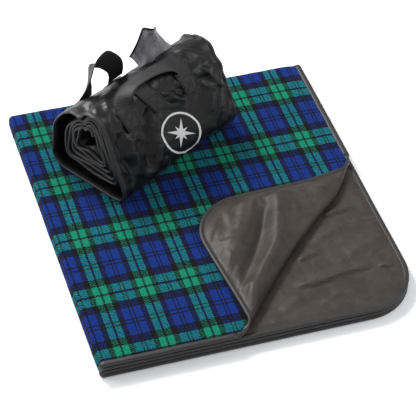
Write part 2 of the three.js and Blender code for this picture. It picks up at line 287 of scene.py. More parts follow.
def make_piece(mesh, name, material, outward=1):
    """Turns a bmesh into a finished piece. outward is -1 where its other side is the one that shows."""
    if outward < 0:
        bmesh.ops.reverse_faces(mesh, faces=mesh.faces[:])
    for face in mesh.faces:
        face.smooth = True
    piece = bpy.data.objects.new(name, bpy.data.meshes.new(name))
    mesh.to_mesh(piece.data)
    mesh.free()
    bpy.context.collection.objects.link(piece)
    piece.data.materials.append(material)
    print(name, len(piece.data.polygons), "faces")
    return piece


def thicken(piece, thickness, offset=-1):
    """Gives a sheet its thickness, inwards from the face that shows, or both ways if offset is 0."""
    solid = piece.modifiers.new("thickness", "SOLIDIFY")
    solid.thickness, solid.offset = thickness * MM, offset
    return piece


def run_length(points):
    """How far along a run of points each one is."""
    return np.concatenate([[0], np.cumsum(np.linalg.norm(np.diff(points, axis=0), axis=1))])

# %% [markdown]
# ## Tartan fleece
# The face is a woven-look polyester fleece: soft, matt, with a short nap that catches a faint light at
# grazing angles. The tartan has two sets of stripes, each a colour ramp over one repeat of the pattern,
# and where they cross the colour is a fine mixture of both, as threads of a twill are. Black threads
# show more strongly than coloured ones, so the mixture leans to the dark stripe.

# %% Tartan fleece material
GREEN, BLUE, BLACK = "#1a9a78", "#1b3a8e", "#1c1b20"


def stripes(tree, place, repeat, phase, widths):
    """One set of stripes: widths are (width in mm, colour) over a repeat, starting at a pair's middle."""
    turn = add(tree, "ShaderNodeMath", [("operation", "MULTIPLY_ADD"), (1, 1000 / repeat),
               (2, phase / repeat)], i0=place)
    share = add(tree, "ShaderNodeMath", [("operation", "FRACT")], i0=turn.outputs[0])
    ramp = add(tree, "ShaderNodeValToRGB", Fac=share.outputs[0])
    ramp.color_ramp.interpolation = "CONSTANT"
    total = sum(width for width, _ in widths)
    at = 0
    for k, (width, colour) in enumerate(widths):
        stop = ramp.color_ramp.elements[0] if k == 0 else ramp.color_ramp.elements.new(at / total)
        stop.position = at / total
        stop.color = (*linear(colour)[:3], 1.0 if colour == BLACK else 0.0)
        at += width
    ramp.color_ramp.elements.remove(ramp.color_ramp.elements[-1])
    return ramp


def repeat_of(gap, green, dark, blue, line, apart):
    """Half a black gap, a green stripe, black, blue with a double black line in it, and back again."""
    side = (blue - 2 * line - apart) / 2
    half = [(gap / 2, BLACK), (green, GREEN), (dark, BLACK), (side, BLUE), (line, BLACK)]
    return half + [(apart, BLUE)] + half[::-1]

# %% The fleece's nodes
WARP_REPEAT, WEFT_REPEAT = 80.3, 145.0  # mm

fleece, tree, shader = new_material("brushed_polyester_fleece")
cloth_map = add(tree, "ShaderNodeUVMap", [("uv_map", "cloth")]).outputs[0]
wobble = add(tree, "ShaderNodeTexNoise", [("Scale", 260.0), ("Detail", 2.0)], Vector=cloth_map)
wobble_size = add(tree, "ShaderNodeVectorMath", [("operation", "MULTIPLY_ADD"), (1, (0.0022, 0.0022, 0)),
                  (2, (-0.0011, -0.0011, 0))], i0=wobble.outputs["Color"])
woven = add(tree, "ShaderNodeVectorMath", [("operation", "ADD")], i0=cloth_map, i1=wobble_size.outputs[0])
axes = add(tree, "ShaderNodeSeparateXYZ", Vector=woven.outputs[0])
warp = stripes(tree, axes.outputs["X"], WARP_REPEAT, 11.2, repeat_of(4.2, 10.8, 10.1, 34.3, 2.5, 3.2))
weft = stripes(tree, axes.outputs["Y"], WEFT_REPEAT, 34.3, repeat_of(5.6, 19.0, 18.6, 64.2, 3.4, 4.6))

# the twill's ribs are 1 mm in the cloth and are drawn 2.6 mm wide, so that they show at this distance
twill = add(tree, "ShaderNodeTexWave", [("Scale", 122.0), ("bands_direction", "DIAGONAL"),
            ("Distortion", 5.0), ("Detail", 2.0), ("Detail Scale", 2.2)], Vector=cloth_map)
speckle = add(tree, "ShaderNodeTexNoise", [("Scale", 420.0), ("Detail", 1.0)], Vector=cloth_map)
threads = add(tree, "ShaderNodeMix", [("data_type", "FLOAT"), (0, 0.5)],
              i2=twill.outputs["Fac"], i3=speckle.outputs["Fac"])
dark_lean = add(tree, "ShaderNodeMath", [("operation", "SUBTRACT")],
                i0=weft.outputs["Alpha"], i1=warp.outputs["Alpha"])
share = add(tree, "ShaderNodeMath", [("operation", "MULTIPLY_ADD"), (1, 0.17)],
            i0=dark_lean.outputs[0], i2=threads.outputs[0])
sharper = add(tree, "ShaderNodeMapRange", [("From Min", 0.28), ("From Max", 0.72)], Value=share.outputs[0])
crossing = add(tree, "ShaderNodeMix", [("data_type", "RGBA")],
               i0=sharper.outputs[0], i6=warp.outputs["Color"], i7=weft.outputs["Color"])
nap = add(tree, "ShaderNodeTexNoise", [("Scale", 330.0), ("Detail", 4.0), ("Roughness", 0.7)],
          Vector=cloth_map).outputs["Fac"]
nap_tone = add(tree, "ShaderNodeMapRange", [("From Min", 0.3), ("From Max", 0.7), ("To Min", 0.34),
               ("To Max", 0.78)], Value=nap)
lit = add(tree, "ShaderNodeVectorMath", [("operation", "SCALE")],
          i0=crossing.outputs[2], Scale=nap_tone.outputs[0])
tree.links.new(lit.outputs[0], shader.inputs["Base Color"])
fuzz = add(tree, "ShaderNodeBump", [("Strength", 0.7), ("Distance", 0.0016)], Height=nap)
tree.links.new(fuzz.outputs["Normal"], shader.inputs["Normal"])
shader.inputs["Roughness"].default_value = 0.95
shader.inputs["Specular IOR Level"].default_value = 0.05
shader.inputs["Sheen Weight"].default_value = 0.04
shader.inputs["Sheen Roughness"].default_value = 0.5
print("one repeat of the tartan is", WARP_REPEAT, "by", WEFT_REPEAT, "mm")

# %% [markdown]
# ## Nylon lining and binding tape
# The lining is a plain woven nylon taffeta, grey-brown and slightly glossy, because its filaments are
# smooth and its weave is tight. It shows its creases by its shine more than by its colour, so most of
# its material is a fine crumpled bump. The binding is a black polyester tape, ribbed across.

# %% Nylon and binding materials
def nylon_cloth(name, colour, light, roughness, sheen, shine=0.5):
    """A taffeta with fine crumples, with painted shade in their hollows and painted light on their tops."""
    material, tree, shader = new_material(name)
    place = add(tree, "ShaderNodeTexCoord").outputs["Object"]
    crumple = add(tree, "ShaderNodeTexNoise", [("Scale", 26.0), ("Detail", 5.0), ("Roughness", 0.6),
                  ("Distortion", 1.4)], Vector=place)
    # the threads are 0.2 mm apart and are drawn 1.2 mm apart
    weave = add(tree, "ShaderNodeTexNoise", [("Scale", 820.0), ("Detail", 1.0)], Vector=place)
    # painted shade and painted light: the noise that crumples the bump also darkens its hollows and
    # lightens its tops
    crumple_light_and_shade = two_tones(tree, crumple.outputs["Fac"], colour, light, 0.35, 0.7)
    # painted shade: the colour is darkened along the lining's creases and the corner's bend, where shadow
    # falls in them
    wear_and_crease_shade = add(tree, "ShaderNodeAttribute", [("attribute_name", "painted_crease_shade")]).outputs["Fac"]
    left = add(tree, "ShaderNodeMath", [("operation", "SUBTRACT"), (0, 1.0)], i1=wear_and_crease_shade).outputs[0]
    shaded = add(tree, "ShaderNodeVectorMath", [("operation", "SCALE")], i0=crumple_light_and_shade, Scale=left)
    tree.links.new(shaded.outputs[0], shader.inputs["Base Color"])
    coarse = add(tree, "ShaderNodeBump", [("Strength", 0.5), ("Distance", 0.002)],
                 Height=crumple.outputs["Fac"])
    fine = add(tree, "ShaderNodeBump", [("Strength", 0.12), ("Distance", 0.0004)],
               Height=weave.outputs["Fac"], Normal=coarse.outputs["Normal"])
    tree.links.new(fine.outputs["Normal"], shader.inputs["Normal"])
    shader.inputs["Roughness"].default_value = roughness
    shader.inputs["Specular IOR Level"].default_value = shine
    shader.inputs["Sheen Weight"].default_value = sheen
    shader.inputs["Sheen Roughness"].default_value = 0.35
    return material


lining = nylon_cloth("nylon_taffeta_lining", "#2f2823", "#3f3732", 0.52, 0.05, 0.33)
case_cloth = nylon_cloth("black_nylon_taffeta", "#060505", "#110f0e", 0.41, 0.03, 0.36)
# the flap is the wrap's own black nylon, painted light grey and made a little rougher: a painted reflection
# of the light above it
flap_painted_light_nylon = nylon_cloth("black_nylon_painted_light_grey", "#57565b", "#8b8a90", 0.5, 0.08)

# %% Ribbed tape
def ribbed_tape(name, colour, light, ribs, roughness):
    """A woven tape with ribs: they run in the tape's own UV map, whose V is the length in metres."""
    material, tree, shader = new_material(name)
    place = add(tree, "ShaderNodeUVMap", [("uv_map", "cloth")]).outputs[0]
    rib = add(tree, "ShaderNodeTexWave", [("Scale", ribs), ("bands_direction", "Y"), ("Distortion", 0.6),
              ("Detail", 2.0)], Vector=place)
    wear_and_crease_shade = add(tree, "ShaderNodeTexNoise", [("Scale", 90.0), ("Detail", 4.0)], Vector=place)
    mixed = add(tree, "ShaderNodeMix", [("data_type", "FLOAT"), (0, 0.6)],
                i2=rib.outputs["Fac"], i3=wear_and_crease_shade.outputs["Fac"])
    tree.links.new(two_tones(tree, mixed.outputs[0], colour, light, 0.25, 0.8), shader.inputs["Base Color"])
    bump = add(tree, "ShaderNodeBump", [("Strength", 0.35), ("Distance", 0.0006)], Height=mixed.outputs[0])
    tree.links.new(bump.outputs["Normal"], shader.inputs["Normal"])
    shader.inputs["Roughness"].default_value = roughness
    return material


# ribs 2 mm apart: a wave texture repeats every 2 pi / 20 units at scale 1, so 0.314 / 0.002
binding_tape = ribbed_tape("polyester_binding_tape", "#141212", "#292627", 157.0, 0.5)
print("cloth materials:", lining.name, case_cloth.name, binding_tape.name)

# %% [markdown]
# ## The blanket's fleece and lining
# Fleece and lining are two sheets of one flat size, with three of their corners rounded and the fourth
# cut off along the line where the corner is turned back. Near the edges the pile is pinched down into
# the binding's seam. Both sheets pass through the same fold, the fleece outside and the lining within.

# %% Measures of the fleece and the lining
CORNER = 100.0  # radius of the cloth's corners
INSET = 7.0  # the sheets end inside the binding
FLEECE_THICK, LINING_THICK = 3.6, 1.4
BENT_FLEECE_THICK = 3.2  # where it is turned back or rolled
FLEECE_FACE, LINING_FACE = 4.35, -4.35  # heights of the two faces that show
FOLD_P, FOLD_Q = math.pi * PLY, math.pi * DOUBLE  # cloth that each fold takes up
FOLD_POINT = Vector((-52.0, FRONT, 0))  # where the corner's fold line crosses the front edge
FOLD_END = Vector((RIGHT, 48.0, 0))  # where it crosses the right edge
FOLD_LENGTH = (FOLD_END - FOLD_POINT).length
FOLD_ALONG = (FOLD_END - FOLD_POINT).normalized()
FOLD_OUT = Vector((FOLD_ALONG.y, -FOLD_ALONG.x, 0))  # towards the corner
print("the corner is turned back along", round(FOLD_LENGTH), "mm")

# %% The cloth's outline, and its fleece
def edge_gap(p, q):
    """How far a flat point is from the cloth's rounded outline."""
    half_p, half_q = (RIGHT - FAR_P) / 2, (FAR_Q - FRONT) / 2
    a = np.abs(p - (RIGHT + FAR_P) / 2) - half_p + CORNER
    b = np.abs(q - (FRONT + FAR_Q) / 2) - half_q + CORNER
    return CORNER - np.minimum(np.maximum(a, b), 0) - np.hypot(np.maximum(a, 0), np.maximum(b, 0))


def cloth_grid(columns, rows):
    """The whole cloth as a grid, with its corners rounded and the turned-back one cut off."""
    cloth = flat_grid(columns, rows)
    radius = CORNER - INSET
    round_corner(cloth, FAR_P + INSET, FRONT + INSET, radius, -1, -1)
    round_corner(cloth, FAR_P + INSET, FAR_Q - INSET, radius, -1, 1)
    round_corner(cloth, RIGHT - INSET, FAR_Q - INSET, radius, 1, 1)
    cut_along(cloth, FOLD_POINT, FOLD_OUT)
    return cloth


def fleece_height(p, q):
    """The fleece's face, half a millimetre inside the pile's outside and pinched near the binding."""
    return FLEECE_FACE - 1.9 * (1 - smooth(edge_gap(p, q), 8, 30)) - 0.5


def lining_height(p, q):
    return LINING_FACE + 1.4 * (1 - smooth(edge_gap(p, q), 8, 20))


def fleece_place(flat):
    p, q = flat[:, 0], flat[:, 1]
    return fold(p, q, fleece_height(p, q) - 0.5 * rough(p, q, 24, 1.7))


left_turn = (-LEFT_LINE - FOLD_P - 4, -LEFT_LINE + 4, 14)
back_turn = (BACK_LINE - 4, BACK_LINE + FOLD_Q + 4, 16)
fleece_columns = lines((FAR_P + INSET, left_turn[0], 60), left_turn, (left_turn[1], RIGHT - INSET, 74))
fleece_rows = lines((FRONT + INSET, back_turn[0], 84), back_turn, (back_turn[1], FAR_Q - INSET, 60))
cloth = cloth_grid(fleece_columns, fleece_rows)
BLANKET_AREA = cut_area(cloth)
lay(cloth, fleece_place)
blanket_fleece = thicken(make_piece(cloth, "blanket_fleece", fleece), FLEECE_THICK)

# %% [markdown]
# The lining is loose on the fleece, so it creases by itself where nothing presses on it. A crease is a
# ridge along a few points, steeper on one side than on the other, and a handful of these, laid where
# the real cloth has them, with a little noise between them, say more than noise alone would.

# %% Creases
def crease(x, y, points, height, near, far):
    """A ridge along points (mm), falling over near on its left and over far on its right."""
    best, side, reach = np.full(x.shape, 1e9), np.zeros(x.shape), np.zeros(x.shape)
    spans = list(zip(points, points[1:]))
    for k, ((x0, y0), (x1, y1)) in enumerate(spans):
        dx, dy = x1 - x0, y1 - y0
        t = np.clip(((x - x0) * dx + (y - y0) * dy) / (dx * dx + dy * dy), 0, 1)
        gap = np.hypot(x - x0 - t * dx, y - y0 - t * dy)
        closer = gap < best
        best = np.where(closer, gap, best)
        side = np.where(closer, dx * (y - y0) - dy * (x - x0), side)
        reach = np.where(closer, (k + t) / len(spans), reach)
    fade = smooth(reach, 0, 0.22) * (1 - smooth(reach, 0.78, 1))
    return height * fade * np.exp(-((best / np.where(side > 0, near, far)) ** 2))


spot = np.array([5.0])
ridge = crease(spot, spot * 0, [(0, -10), (0, 10)], 4.0, 9, 2)
print("5 mm to the right of a ridge 4 mm high:", round(float(ridge[0]), 2), "mm")

# %% Where the blanket's lining creases
LOWER_CREASES = [  # points, height, width on the left, width on the right
    ([(78, -249), (153, -247), (244, -232)], 6.0, 13, 2.2),
    ([(108, -188), (162, -174)], 4.4, 9, 2.2),
    ([(190, -95), (256, -82)], 5.0, 11, 2.2),
    ([(3, -341), (28, -312)], 3.4, 6, 2.4),
    ([(112, -302), (150, -288), (186, -290)], 2.8, 9, 3),
    ([(150, -150), (215, -130), (262, -134)], 3.0, 14, 5),
    ([(246, -238), (274, -243)], 3.2, 6, 2.2),
    ([(200, -200), (262, -176)], 2.8, 16, 6),
    ([(40, -300), (92, -272)], 2.8, 12, 6),
]


def lower_lining(x, y):
    """How far the uncovered lower lining stands up from its fleece."""
    rise = sum(crease(x, y, *c) for c in LOWER_CREASES)
    rise = rise + 0.7 * (1 + rough(x, y, 38, 9.2)) + 0.25 * rough(x, y, 11, 4.4)
    beyond = (x - FOLD_POINT.x) * FOLD_OUT.x + (y - FOLD_POINT.y) * FOLD_OUT.y
    open_edge = np.minimum(np.minimum(RIGHT - x, y - FRONT), 60)
    return rise * smooth(beyond, 4, 30) * smooth(open_edge, 10, 26)


def lining_place(flat):
    p, q = flat[:, 0], flat[:, 1]
    place = fold(p, q, lining_height(p, q))
    lower = (p < -LEFT_LINE - FOLD_P) & (q < BACK_LINE)
    place[:, 2] += np.where(lower, lower_lining(place[:, 0], place[:, 1]), 0)
    return place


# painted shade: thin dark lines along the lower lining's main creases, where their folds hold shadow
CREASE_SHADE_LINES = [  # points, how much darker, width on the left, width on the right
    ([(80, -251), (125, -253), (170, -243), (212, -240), (240, -238)], 1.0, 2.0, 2.4),
    ([(110, -191), (156, -178)], 0.8, 2.0, 2.4),
    ([(186, -97), (250, -87)], 0.9, 2.0, 2.4),
    ([(244, -241), (270, -247)], 0.8, 2.0, 2.0),
    ([(2, -350), (22, -326)], 0.7, 2.0, 2.4),
    ([(248, -17), (268, -20)], 0.7, 2.0, 2.0),
]
print(len(LOWER_CREASES), "soft creases and", len(CREASE_SHADE_LINES), "hard ones")


def paint_crease_shade(piece, creases):
    """Paints shade along a lining's creases: keeps how much darker each place is, for its material to read.
    """
    across, along = np.array([v.co[:2] for v in piece.data.vertices]).T / MM
    depth = sum(crease(across, along, *c) for c in creases)
    marks = piece.data.attributes.new("painted_crease_shade", "FLOAT", "POINT")
    marks.data.foreach_set("value", np.clip(depth, 0, 0.85))

# %% The blanket's lining
lining_columns = lines((FAR_P + INSET, FAR_P + 370, 110), (FAR_P + 370, left_turn[0], 20), left_turn,
                       (left_turn[1], RIGHT - INSET, 40))
lining_rows = lines((FRONT + INSET, 60, 118), (60, back_turn[0], 24), back_turn,
                    (back_turn[1], FAR_Q - INSET, 40))
cloth = cloth_grid(lining_columns, lining_rows)
lay(cloth, lining_place)
blanket_lining = thicken(make_piece(cloth, "blanket_lining", lining, outward=-1), LINING_THICK)
paint_crease_shade(blanket_lining, CREASE_SHADE_LINES)

# %% [markdown]
# ## The binding
# One tape runs round the cloth's whole edge, over both folds, and is sewn through near its inner side,
# which pinches it into a rounded lip. It is a grid wrapped into a tube: one way round the tape's
# section and the other way along the edge. Its path leaves out the corner that is turned back.

# %% Binding
TAPE = 12.0  # how far the tape covers each face


def outline_path():
    """Points (p, q) along the edge, from the corner's fold line round to its other end."""
    points = []

    def straight(start, end, step):
        gaps = max(2, round(math.dist(start, end) / step))
        for k in range(gaps):
            t = k / gaps
            points.append((start[0] + (end[0] - start[0]) * t, start[1] + (end[1] - start[1]) * t))

    def corner(cp, cq, first):
        for k in range(26):
            angle = math.radians(first + 90 * k / 26)
            points.append((cp + CORNER * math.cos(angle), cq + CORNER * math.sin(angle)))

    low_p, high_p = FAR_P + CORNER, RIGHT - CORNER
    low_q, high_q = FRONT + CORNER, FAR_Q - CORNER
    straight((RIGHT, FOLD_END.y), (RIGHT, back_turn[0]), 7)
    straight((RIGHT, back_turn[0]), (RIGHT, back_turn[1]), 2)
    straight((RIGHT, back_turn[1]), (RIGHT, high_q), 9)
    corner(high_p, high_q, 0)
    straight((high_p, FAR_Q), (left_turn[1], FAR_Q), 9)
    straight((left_turn[1], FAR_Q), (left_turn[0], FAR_Q), 1.6)
    straight((left_turn[0], FAR_Q), (low_p, FAR_Q), 9)
    corner(low_p, high_q, 90)
    straight((FAR_P, high_q), (FAR_P, back_turn[1]), 9)
    straight((FAR_P, back_turn[1]), (FAR_P, back_turn[0]), 2)
    straight((FAR_P, back_turn[0]), (FAR_P, low_q), 7)
    corner(low_p, low_q, 180)
    straight((low_p, FRONT), (left_turn[0], FRONT), 7)
    straight((left_turn[0], FRONT), (left_turn[1], FRONT), 1.6)
    straight((left_turn[1], FRONT), (FOLD_POINT.x, FRONT), 7)
    points.append((FOLD_POINT.x, FRONT))
    return np.array(points)

# %% The binding's tape
def close_tube(tube, dist, ends=True):
    """Joins a wrapped grid along its seam, closes its ends, and turns its faces outwards."""
    bmesh.ops.remove_doubles(tube, verts=tube.verts[:], dist=dist)
    if ends:
        bmesh.ops.holes_fill(tube, edges=[e for e in tube.edges if e.is_boundary])
    bmesh.ops.recalc_face_normals(tube, faces=tube.faces[:])


def tape_on(path, name, place, around=14):
    """A tube of binding tape along a path of the flat cloth, which place then folds."""
    tangent = np.gradient(path, axis=0)
    tangent /= np.linalg.norm(tangent, axis=1)[:, None]
    outward = np.stack([tangent[:, 1], -tangent[:, 0]], 1)
    from_middle = path - [(RIGHT + FAR_P) / 2, (FRONT + FAR_Q) / 2]
    outward *= np.sign((from_middle * outward).sum(1))[:, None]
    length = run_length(path)

    def section_place(flat):
        row = row_of(flat)
        angle = flat[:, 0] / around * 2 * math.pi
        c, s = np.cos(angle), np.sin(angle)
        bulk = 1 + 0.05 * rough(length[row], row * 0, 17, 2.2)
        out = TAPE / 2 * (np.sign(c) * np.abs(c) ** 0.75 - 1) * bulk
        seam = 0.9 * (1 - smooth(-out, 9.5, 5))
        deep = (FLEECE_FACE - seam) * np.sign(s) * np.abs(s) ** 0.75
        return place(path[row, 0] + out * outward[row, 0], path[row, 1] + out * outward[row, 1], deep)

    def section_spread(flat):
        return np.stack([flat[:, 0] / around * 2 * TAPE, length[row_of(flat)]], 1) * MM

    tube = flat_grid(np.arange(around + 1.0), np.arange(float(len(path))))
    lay(tube, section_place, section_spread)
    close_tube(tube, 1e-6)
    return make_piece(tube, name, binding_tape)


blanket_binding = tape_on(outline_path(), "blanket_binding", fold)

# %% [markdown]
# ## The corner turned back
# The front right corner of the top layer is laid back on itself, so its lining shows. Beyond the fold
# line the cloth goes round a soft bend and then lies back as its own mirror image. The bend uses up 44
# mm of cloth. The lining has a high crest near the bend, a steep slope down from it, and short puckers
# where the binding gathers it.

# %% Turning the corner back
BEND_CLOTH, BEND_REACH = 44.0, 4.6  # cloth in the bend, and how far the bend's middle stands out
HINGE_UP = 35.85  # height of the bend's middle

CREST = [  # points, height, width on the left, width on the right
    ([(150, 20), (118, -50), (78, -160), (38, -214), (-34, -322), (-50, -345)], 16.0, 17, 24),
    ([(112, -20), (66, -116), (30, -176), (-34, -268)], -7.0, 26, 9),
    ([(96, 14), (54, -78), (14, -136), (-50, -206)], 6.5, 9, 26),
    ([(60, -20), (40, -70), (20, -112)], 2.6, 9, 7),
    ([(20, -40), (14, -96), (-10, -150)], 2.4, 12, 6),
    ([(-34, -120), (6, -128), (30, -150)], 2.0, 5, 9),
    ([(-40, -240), (0, -236), (20, -250)], 1.8, 6, 9),
    ([(150, -10), (176, -46), (214, -52)], 3.0, 7, 10),
    ([(200, 2), (196, -30), (230, -44)], 2.6, 6, 8),
    ([(130, -6), (140, -40), (150, -90)], 2.8, 8, 8),
    ([(90, -8), (84, -40), (96, -70)], 2.0, 6, 6),
]


def turn_back(p, q, n, loose=0.0):
    """A point of the corner's flat cloth to its place in the fold. loose is how freely it creases."""
    dp, dq = p - FOLD_POINT.x, q - FOLD_POINT.y
    out = dp * FOLD_OUT.x + dq * FOLD_OUT.y
    along = dp * FOLD_ALONG.x + dq * FOLD_ALONG.y
    angle = math.pi * np.clip(out / BEND_CLOTH, 0, 1)
    beyond = np.maximum(out - BEND_CLOTH, 0)
    share = along / FOLD_LENGTH
    bow = 11 * np.exp(-(((share - 0.78) / 0.12) ** 2)) - 4 * np.exp(-(((share - 0.36) / 0.17) ** 2))
    off = np.minimum(out, 0) + (BEND_REACH - n) * np.sin(angle) - beyond
    off = off + bow * smooth(out, 0, BEND_CLOTH / 2)
    x = FOLD_POINT.x + along * FOLD_ALONG.x + off * FOLD_OUT.x
    y = FOLD_POINT.y + along * FOLD_ALONG.y + off * FOLD_OUT.y
    z = HINGE_UP - (PLY - n) * np.cos(angle)
    gap = edge_gap(p, q)
    pucker = 2.0 * rough(p - q, gap * 0.3, 8, 5.5) * np.exp(-(((gap - 20) / 12) ** 2))
    rise = sum(crease(x, y, *c) for c in CREST) + 3.0 + rough(x, y, 30, 6.1)
    rise = rise * smooth(gap, 9, 34) + pucker * smooth(gap, 9, 15)
    z = z + loose * rise * smooth(out, BEND_CLOTH * 0.75, BEND_CLOTH + 26)
    return np.stack([x, y, z - sag(x, y, np.clip(z, 0, 36))], 1)


corner_tip = turn_back(np.array([RIGHT - 29.3]), np.array([FRONT + 29.3]), np.zeros(1))[0]
print("the corner's tip lies at", corner_tip.round())

# %% The corner's grid and its layers
def corner_grid(step):
    gaps = round(362 / step)
    cloth = flat_grid(lines((-62, RIGHT - INSET, gaps)), lines((FRONT + INSET, 60, round(gaps * 1.1))))
    round_corner(cloth, RIGHT - INSET, FRONT + INSET, CORNER - INSET, 1, -1)
    cut_along(cloth, FOLD_POINT, -FOLD_OUT)
    return cloth


def corner_fleece_place(flat):
    p, q = flat[:, 0], flat[:, 1]
    return turn_back(p, q, fleece_height(p, q), 0.12)


def corner_lining_place(flat):
    p, q = flat[:, 0], flat[:, 1]
    return turn_back(p, q, lining_height(p, q), 1.0)


def corner_path():
    arc = [math.radians(-2.5 * k) for k in range(37)]
    middle_p, middle_q = RIGHT - CORNER, FRONT + CORNER
    right_edge = [(RIGHT, FOLD_END.y - k * 5) for k in range(int((FOLD_END.y - middle_q) // 5) + 1)]
    bend = [(middle_p + CORNER * math.cos(a), middle_q + CORNER * math.sin(a)) for a in arc]
    front_edge = [(middle_p - 5 - k * 5, FRONT) for k in range(int((middle_p - FOLD_POINT.x) // 5))]
    return np.array(right_edge + bend + front_edge + [(FOLD_POINT.x, FRONT)])

# %% The corner's pieces
cloth = corner_grid(6)
CORNER_AREA = cut_area(cloth)
lay(cloth, corner_fleece_place)
corner_fleece = thicken(make_piece(cloth, "corner_fleece_face", fleece), BENT_FLEECE_THICK)
cloth = corner_grid(3.2)
lay(cloth, corner_lining_place)
corner_lining = thicken(make_piece(cloth, "corner_lining", lining, outward=-1), LINING_THICK)
# painted shade along the corner lining's valley and the shadowed side of its bend
paint_crease_shade(corner_lining, [
    ([(150, -120), (121, -165), (75, -213), (28, -259), (-24, -314), (-48, -345)], 0.8, 9, 13),
    ([(122, -6), (111, -38), (63, -111), (32, -155), (-8, -200), (-40, -236)], 0.62, 13, 16),
])
corner_tape = tape_on(corner_path(), "corner_binding_tape", turn_back)

# the bend runs up through the fold, leaning back from it, so all the cloth that lies back turns fully
for piece in (corner_fleece, corner_lining, corner_tape):
    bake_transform(piece)

# %% [markdown]
# The blanket's fleece, lining and binding ride on the folded blanket's body, and the imported layers and
# corner that they stand for are hidden. The whole cloth is one rectangle of about 1.19 by 1.34 m, less the
# corner, which is cut from the same sheet here.

# %% What the blanket's pieces stand for
nodes = sorted(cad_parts)
layer_nodes = [n for n in nodes if n.startswith(("fleece_", "backing_", "binding_"))]

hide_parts(*[n for n in layer_nodes if n.startswith("fleece_")])
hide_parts(*[n for n in layer_nodes if n.startswith("backing_")])
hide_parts(*[n for n in layer_nodes if n.startswith("binding_")])
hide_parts("corner_fleece")
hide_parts("corner_backing")
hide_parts("corner_binding")
for piece in (blanket_fleece, blanket_lining, blanket_binding):
    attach(piece, "folded_blanket")

# %% [markdown]
# ## The carry case's section
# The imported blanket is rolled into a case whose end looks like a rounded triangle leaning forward. That
# section is drawn once, in mm, as straight stretches and quadratic curves, and is sampled evenly by its
# length, so every cloth that lies on the case can be placed by how far round it is and how far along.

# %% The case's section
ROLL_TURN, ROLL_X, ROLL_Y, ROLL_UP = math.radians(32), -60.5, 186.0, 36.0
ROLL_LEFT, ROLL_RIGHT = -160.0, 138.0
OUTLINE = [  # stretches as (back, up): two end points, and a control point between them where it is curved
    [(-58, 0), (60, 0)],
    [(60, 0), (86, 0), (84, 30)],
    [(84, 30), (82, 74)],
    [(82, 74), (80, 102), (60, 124)],
    [(60, 124), (26, 167), (-4, 167)],
    [(-4, 167), (-24, 167), (-32, 146)],
    [(-32, 146), (-78, 38)],
    [(-78, 38), (-94, 0), (-58, 0)],
]


def stretch_points(stretch, count=40):
    t = np.linspace(0, 1, count, endpoint=False)[:, None]
    a, *middle, b = (np.array(point, float) for point in stretch)
    if not middle:
        return a + (b - a) * t
    return a * (1 - t) ** 2 + 2 * middle[0] * t * (1 - t) + b * t * t


loop_points = np.concatenate([stretch_points(s) for s in OUTLINE] + [[OUTLINE[0][0]]])
loop_length = run_length(loop_points)
PERIMETER = loop_length[-1]
print("once round the case is", round(PERIMETER), "mm")

# %% Places on the section and beside the roll
def loop_point(at):
    """The section's point (back, up), this far round it from its front foot, in mm."""
    return np.stack([np.interp(at % PERIMETER, loop_length, loop_points[:, k]) for k in (0, 1)], -1)


def section(share):
    """The section's point and outward direction, a share 0 to 1 of the way round from its front foot."""
    at = (np.asarray(share) % 1.0) * PERIMETER
    along = loop_point(at + 4) - loop_point(at - 4)
    along /= np.linalg.norm(along, axis=-1, keepdims=True)
    return loop_point(at), np.stack([along[..., 1], -along[..., 0]], -1)


def from_roll(t, back, up):
    """A point along, across and above the roll to its place in the room, in mm."""
    c, s = math.cos(ROLL_TURN), math.sin(ROLL_TURN)
    return np.stack([ROLL_X + t * c - back * s, ROLL_Y + t * s + back * c, ROLL_UP + up], -1)


def roll_direction(back, up):
    """A direction across and above the roll, in the room."""
    return from_roll(0.0, back, up) - from_roll(0.0, 0.0, 0.0)


def outward_at(share):
    """The section's outward direction in the room."""
    normal = section(share)[1]
    return roll_direction(normal[:, 0], normal[:, 1])


def beside_case(t, share, out):
    """A place this far out from the plain section."""
    point, normal = section(share)
    edge = point + normal * out[:, None]
    return from_roll(t, edge[:, 0], edge[:, 1])


def round_at(up, front):
    """How far round the section reaches this height, on its front or its back."""
    shares = np.linspace(0, 1, 4001)[:-1]
    point = section(shares)[0]
    miss = np.abs(point[:, 1] - up) + 1e3 * ((point[:, 0] < -5) != front)
    return shares[miss.argmin()]


print("the case is 100 mm high", round(round_at(100, True), 3), "of the way round")

# %% [markdown]
# ## The case's cloth
# The case is one nylon wrap, loose on the roll inside. Its large shape bulges at the right of the front
# and sinks between the straps, and its small shape is crumpled: straight creases that cross at odd
# angles. Ridged noise, stretched along one direction at a time, gives creases like those, and the few
# long folds that run down from the straps are laid one by one.

# %% Bulges and crumples of the case
FRONT_FOLDS = [  # points along the roll and up its front, height, width on the left, width on the right
    ([(-46, 140), (-66, 111), (-78, 84), (-88, 14)], -7.0, 10, 6),
    ([(-34, 120), (-50, 84), (-62, 18)], 4.5, 9, 13),
    ([(-126, 132), (-140, 110), (-138, 80), (-128, 30)], -5.0, 8, 6),
    ([(-112, 118), (-118, 84), (-104, 30)], 5.0, 10, 12),
    ([(-146, 150), (-152, 110), (-148, 50)], 3.5, 7, 7),
    ([(-90, 110), (-98, 70), (-92, 20)], -3.5, 6, 8),
    ([(0, 131), (20, 122), (44, 104)], 4.0, 4, 9),
    ([(-14, 141), (6, 137), (24, 126)], 3.4, 4, 7),
    ([(84, 118), (98, 104), (118, 96)], 3.6, 5, 8),
    ([(70, 140), (96, 132), (126, 138)], 3.8, 6, 7),
    ([(92, 150), (110, 118), (128, 84)], 3.4, 7, 5),
    ([(30, 148), (44, 132), (52, 118)], 3.0, 5, 6),
]


NOTCH = 0.56  # the share of the way round where the mouth is dented
CASE_THICK = 1.2
END_DOME = 12  # how far the wrap goes on past the right end, where it is gathered
END_REACH = 11  # how far it reaches there
END_BACK, END_UP = -4.0, 74.0  # where it is gathered to


def ridged(a, b, long, short, seed):
    return 1 - 2 * np.abs(rough(a * short / long, b, short, seed))


